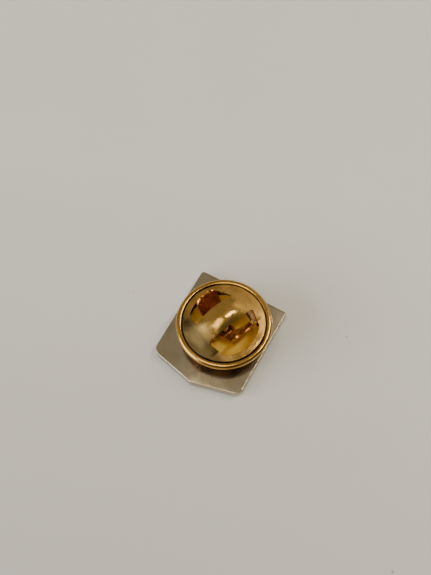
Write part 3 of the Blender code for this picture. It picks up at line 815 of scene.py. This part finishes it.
# A strip extruded along the wing's bend, narrowed to a rounded tip and cupped a little.
def makeWingStrip(name, wing, level):
    low = level + spring["sheet"] / 2
    bend = 2 * spring["sheet"]
    lean = atan2(spring["wingTop"] - low - bend, wing["reach"] - wing["root"])
    path = [(wing["root"] - bend, low)]
    path += arc(wing["root"] - bend / 2, low + bend, bend, -pi / 2, lean - pi / 2, 12)
    (x0, z0), (x1, z1) = path[-1], (wing["reach"], spring["wingTop"])
    length = hypot(x1 - x0, z1 - z0)
    rows = [(x, z, 0.0) for x, z in path]
    for step in range(1, 6):
        part = (1 - spring["wingCorner"] / length) * step / 6
        rows.append((x0 + (x1 - x0) * part, z0 + (z1 - z0) * part, 0.0))
    for step in range(13):
        angle = step * pi / 24
        part = 1 - spring["wingCorner"] * (1 - sin(angle)) / length
        rows.append((x0 + (x1 - x0) * part, z0 + (z1 - z0) * part,
                     spring["wingCorner"] * (1 - cos(angle))))
    bpy.ops.object.select_all(action="DESELECT")
    bpy.ops.mesh.primitive_grid_add(x_subdivisions=len(rows) - 1, y_subdivisions=spring["across"],
                                    size=2)
    piece = bpy.context.object
    piece.name = name
    columns = sorted({round(vert.co.x, 5) for vert in piece.data.vertices})
    for vert in piece.data.vertices:
        nearest = min(range(len(columns)), key=lambda column: abs(columns[column] - vert.co.x))
        x, z, trim = rows[nearest]
        share = (vert.co.y + 1) / 2
        near = foldDistance + wing["span"][0] + trim
        far = foldDistance + wing["span"][1] - trim
        cupped = (spring["cupping"] * smoothStep((z - low - bend) / spring["cuppingRise"])
                  * (1 - (2 * share - 1) ** 2))
        vert.co = (wing["side"] * (x + cupped), near + (far - near) * share, z)
    modify(piece, "SOLIDIFY", thickness=spring["sheet"], offset=0, use_even_offset=True)
    return piece


def makeLeg(name, wing):
    level = spring["level"] + wing["layer"] * (spring["sheet"] + spring["gap"])
    leg = outlinePiece("springLeg" + name, legOutline(wing), level, level + spring["sheet"])
    combine(leg, makeWingStrip("wingStrip", wing, level), "UNION")
    corners = [(-spring["jawEdge"], foldDistance - spring["slotHalf"]),
               (spring["slotFree"], foldDistance - spring["slotHalf"]),
               (spring["slotFree"], foldDistance + spring["slotHalf"]),
               (-spring["jawEdge"], foldDistance + spring["slotHalf"])]
    slot = [(wing["side"] * x, y) for x, y in rounded(corners, [spring["slotCorner"]] * 4, 6)]
    combine(leg, outlinePiece("slotCutter", slot, level - 1, level + 0.6), "DIFFERENCE")
    softenEdges(leg, spring["edgeRound"], 3, radians(50))
    finishPiece(leg, (foldPlace.x, foldPlace.y, cupBase), clutchTurn, finish["bronze"],
                wing["body"], [wing["node"]])


makeFold()
for name, wing in wings.items():
    makeLeg(name, wing)
print("spring done")


# The camera, as an angle round the plate and a distance in millimetres.
view = {"azimuth": radians(30.0), "elevation": radians(65.4), "roll": radians(-1.0),
        "distance": 123.8, "aim": (-3.37, 4.79), "lens": 62.6, "sensor": 36.0,
        "clip": (5.0, 10000.0)}

# The table, in millimetres: it lies just below the pin, so that their faces don't coincide.
tableTop = {"size": 1200.0, "drop": 0.01}


def makeTable():
    bpy.ops.object.select_all(action="DESELECT")
    bpy.ops.mesh.primitive_plane_add(size=tableTop["size"] / mm,
                                     location=(0, 0, -tableTop["drop"] / mm))
    table = bpy.context.object
    table.name = "table"
    table.data.materials.append(paleTable())


# Area lights, in metres and watts. Each faces the origin, with its long side as near to a
# direction as it can be.
lamps = {
    "windowKey": {"place": (-0.80, -0.88, 0.50), "along": (0.75, -0.66, 0), "size": (0.60, 1.00),
                  "power": 10.6, "color": "F6F8FF"},
    "upperLamp": {"place": (-0.02, -0.25, 0.95), "along": (1, 0, 0), "size": (0.50, 0.50),
                  "power": 2.8, "color": "FFF0D8"},
    "ceilingLamp": {"place": (0.24, 0.36, 0.66), "along": (0.25, 0.97, 0), "size": (0.05, 0.46),
                    "power": 2.4, "color": "FFF3E2"},
    "paleWall": {"place": (0.25, 0.95, 0.30), "along": (0.97, -0.25, 0), "size": (0.30, 0.70),
                 "power": 0.6, "color": "FFEBD0"},
}


def addSoftbox(name, settings):
    light = bpy.data.lights.new(name, "AREA")
    light.shape = "RECTANGLE"
    light.size, light.size_y = settings["size"]
    light.energy = settings["power"]
    light.color = hexColor(settings["color"])[:3]
    lamp = bpy.data.objects.new(name, light)
    bpy.context.scene.collection.objects.link(lamp)
    back = Vector(settings["place"]).normalized()
    side = Vector(settings["along"]).cross(back).normalized()
    turn = Matrix((side, back.cross(side), back)).transposed().to_4x4()
    lamp.matrix_world = Matrix.Translation(settings["place"]) @ turn


# The room: a warm pale ceiling that darkens to one side, and the glow of a wide window.
room = {"strength": 1.3, "ceiling": "958C7B", "shade": "47494D", "window": "E4E8EE",
        "ceilingWay": (-0.50, 0.42, 0.76), "shadeTo": -0.10, "ceilingFrom": 0.80,
        "windowWay": (-0.62, -0.70, 0.36), "glowFrom": 0.76, "glowTo": 0.93}


def makeRoom():
    world = bpy.data.worlds.new("room")
    bpy.context.scene.world = world
    world.use_nodes = True
    tree = world.node_tree
    backdrop = tree.nodes["Background"]
    way = addNode(tree, "ShaderNodeTexCoord", {}, "Generated")
    color = hexColor(room["shade"])
    for tint, direction, low, high in (("ceiling", "ceilingWay", "shadeTo", "ceilingFrom"),
                                       ("window", "windowWay", "glowFrom", "glowTo")):
        facing = addNode(tree, "ShaderNodeVectorMath",
                         {"operation": "DOT_PRODUCT", 0: way, 1: room[direction]}, "Value")
        share = addNode(tree, "ShaderNodeMapRange",
                        {"From Min": room[low], "From Max": room[high], "Value": facing})
        color = addNode(tree, "ShaderNodeMix",
                        {"data_type": "RGBA", "Factor": share, mixFirst: color,
                         mixSecond: hexColor(room[tint])}, mixResult)
    feed(tree, backdrop, {"Color": color, "Strength": room["strength"]})


def makeCamera():
    backward = Vector((sin(view["azimuth"]) * cos(view["elevation"]),
                       -cos(view["azimuth"]) * cos(view["elevation"]), sin(view["elevation"])))
    flat = Vector((cos(view["azimuth"]), sin(view["azimuth"]), 0))
    upright = backward.cross(flat)
    right = flat * cos(view["roll"]) + upright * sin(view["roll"])
    up = backward.cross(right)
    sideCentre = plateCentre.y + badge["pointDepth"] / 2
    aim = Vector((plateCentre.x + view["aim"][0], sideCentre + view["aim"][1], plateBack)) / mm
    camera = bpy.data.cameras.new("camera")
    camera.lens = view["lens"]
    camera.sensor_width = view["sensor"]
    camera.clip_start = view["clip"][0] / mm
    camera.clip_end = view["clip"][1] / mm
    holder = bpy.data.objects.new("camera", camera)
    bpy.context.scene.collection.objects.link(holder)
    turn = Matrix((right, up, backward)).transposed().to_4x4()
    holder.matrix_world = Matrix.Translation(aim + backward * view["distance"] / mm) @ turn
    bpy.context.scene.camera = holder


makeTable()
makeRoom()
for name, settings in lamps.items():
    addSoftbox(name, settings)
makeCamera()
print("stage done")

bpy.context.view_layer.update()
